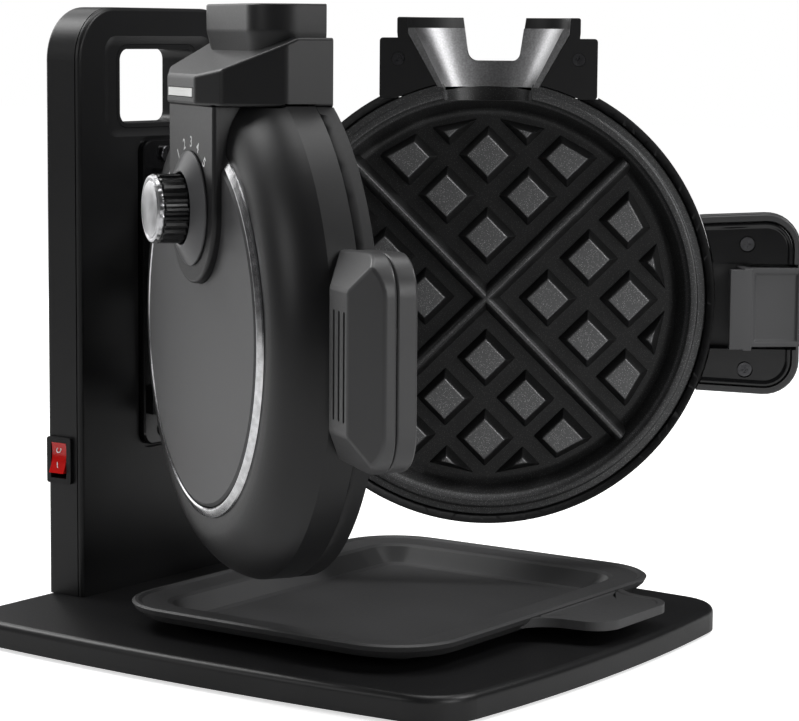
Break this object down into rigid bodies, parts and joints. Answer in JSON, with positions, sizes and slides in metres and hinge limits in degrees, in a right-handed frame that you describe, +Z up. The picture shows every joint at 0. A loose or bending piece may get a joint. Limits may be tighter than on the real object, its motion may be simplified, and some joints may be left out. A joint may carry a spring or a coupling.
{
  "type": "vertical waffle maker",
  "caption": "Countertop vertical waffle maker: two round hinged plates that open like a book from a handled tower, over a foot with a lift-out drip tray.",
  "frame": {"origin": "middle of the footprint of the whole object at rest, on the surface it stands on", "axes": "+Z up; -Y is the front, where the drip tray's tab points; the tower stands at +Y; the hinge axis runs along Z"},
  "size_m": [0.336, 0.2842, 0.2828],
  "materials": {
    "black_plastic": "satin moulded ABS with a fine grain",
    "dark_plastic": "matte moulded heat-resistant plastic",
    "gloss_black": "gloss moulded plastic",
    "grey_plastic": "mid-grey moulded plastic",
    "nonstick": "die-cast aluminium with a dark non-stick coat",
    "grey_disc": "fine matte grey lacquer on sheet metal",
    "bright_trim": "satin chrome",
    "aluminium": "plain aluminium",
    "steel": "zinc-plated steel",
    "dark_steel": "black-zinc steel",
    "rubber": "soft black rubber",
    "red_lens": "clear red rocker cap",
    "white_lens": "opal white lens",
    "cream_plastic": "heat-resistant cream plastic",
    "wire_red": "silicone-insulated wire"
  },
  "bodies": {
    "stand": {"base_cover": "black_plastic", "base_bottom": "dark_plastic", "rubber_feet": "rubber", "base_screws": "dark_steel", "tower_rear_shell": "black_plastic", "tower_front_shell": "black_plastic", "tower_case_screws": "dark_steel", "tower_bolts": "steel", "hinge_backing_plate": "steel", "cord_inlet_gland": "rubber", "terminal_block": "cream_plastic", "stand_wiring": "wire_red", "switch_body": "dark_plastic", "hinge_plate": "gloss_black", "hinge_plate_bolts": "dark_steel", "hinge_pin": "steel"},
    "rocker": {"power_rocker": "red_lens"},
    "front_half": {"front_hinge_arm": "dark_plastic", "front_arm_screws": "steel", "front_cover": "black_plastic", "front_frame_ring": "dark_plastic", "front_waffle_plate": "nonstick", "front_funnel": "aluminium", "front_heating_element": "steel", "front_heat_shield": "aluminium", "front_shield_screws": "steel", "front_trim_ring": "bright_trim", "front_face_disc": "grey_disc", "front_collar": "black_plastic", "indicator_window": "white_lens", "front_mating_screws": "dark_steel", "dial_panel": "black_plastic", "dial_bezel": "grey_plastic", "thermostat": "steel", "indicator_lamps": "white_lens", "front_grip": "black_plastic", "front_grip_inner": "dark_plastic"},
    "knob": {"thermostat_knob": "black_plastic", "knob_cap": "aluminium", "thermostat_shaft": "steel"},
    "rear_half": {"rear_hinge_arm": "dark_plastic", "rear_arm_screws": "steel", "rear_cover": "black_plastic", "rear_frame_ring": "dark_plastic", "rear_waffle_plate": "nonstick", "rear_funnel": "aluminium", "rear_heating_element": "steel", "rear_heat_shield": "aluminium", "rear_shield_screws": "steel", "rear_trim_ring": "bright_trim", "rear_face_disc": "grey_disc", "rear_collar": "black_plastic", "rear_mating_screws": "dark_steel", "thermal_cutout": "steel", "rear_grip": "black_plastic", "rear_grip_inner": "gloss_black", "latch_pin": "steel"},
    "latch": {"latch_clip": "grey_plastic"},
    "drip_tray": {"drip_tray": "black_plastic"}
  },
  "joints": [
    {"name": "front_half_hinge", "type": "hinge", "parent": "stand", "child": "front_half", "pos_m": [0.00599, 0.09685, 0.1495], "axis": [0, 0, 1], "range_deg": [-2.2, 33.8]},
    {"name": "rear_half_hinge", "type": "hinge", "parent": "stand", "child": "rear_half", "pos_m": [0.00599, 0.09685, 0.1495], "axis": [0, 0, -1], "range_deg": [-5.3, 30.7]},
    {"name": "thermostat_turn", "type": "hinge", "parent": "front_half", "child": "knob", "pos_m": [-0.11027, 0.01306, 0.1991], "axis": [-0.831, 0.5563, 0], "range_deg": [-270, 0]},
    {"name": "power_rocker_tilt", "type": "hinge", "parent": "stand", "child": "rocker", "pos_m": [-0.04401, 0.13225, 0.075], "axis": [0, -1, 0], "range_deg": [0, 16]},
    {"name": "latch_swing", "type": "hinge", "parent": "rear_half", "child": "latch", "pos_m": [0.14885, -0.12221, 0.1493], "axis": [0, 0, -1], "range_deg": [0, 10]},
    {"name": "tray_out", "type": "slide", "parent": "stand", "child": "drip_tray", "axis": [0, -1, 0], "range_m": [0, 0.08]}
  ]
}
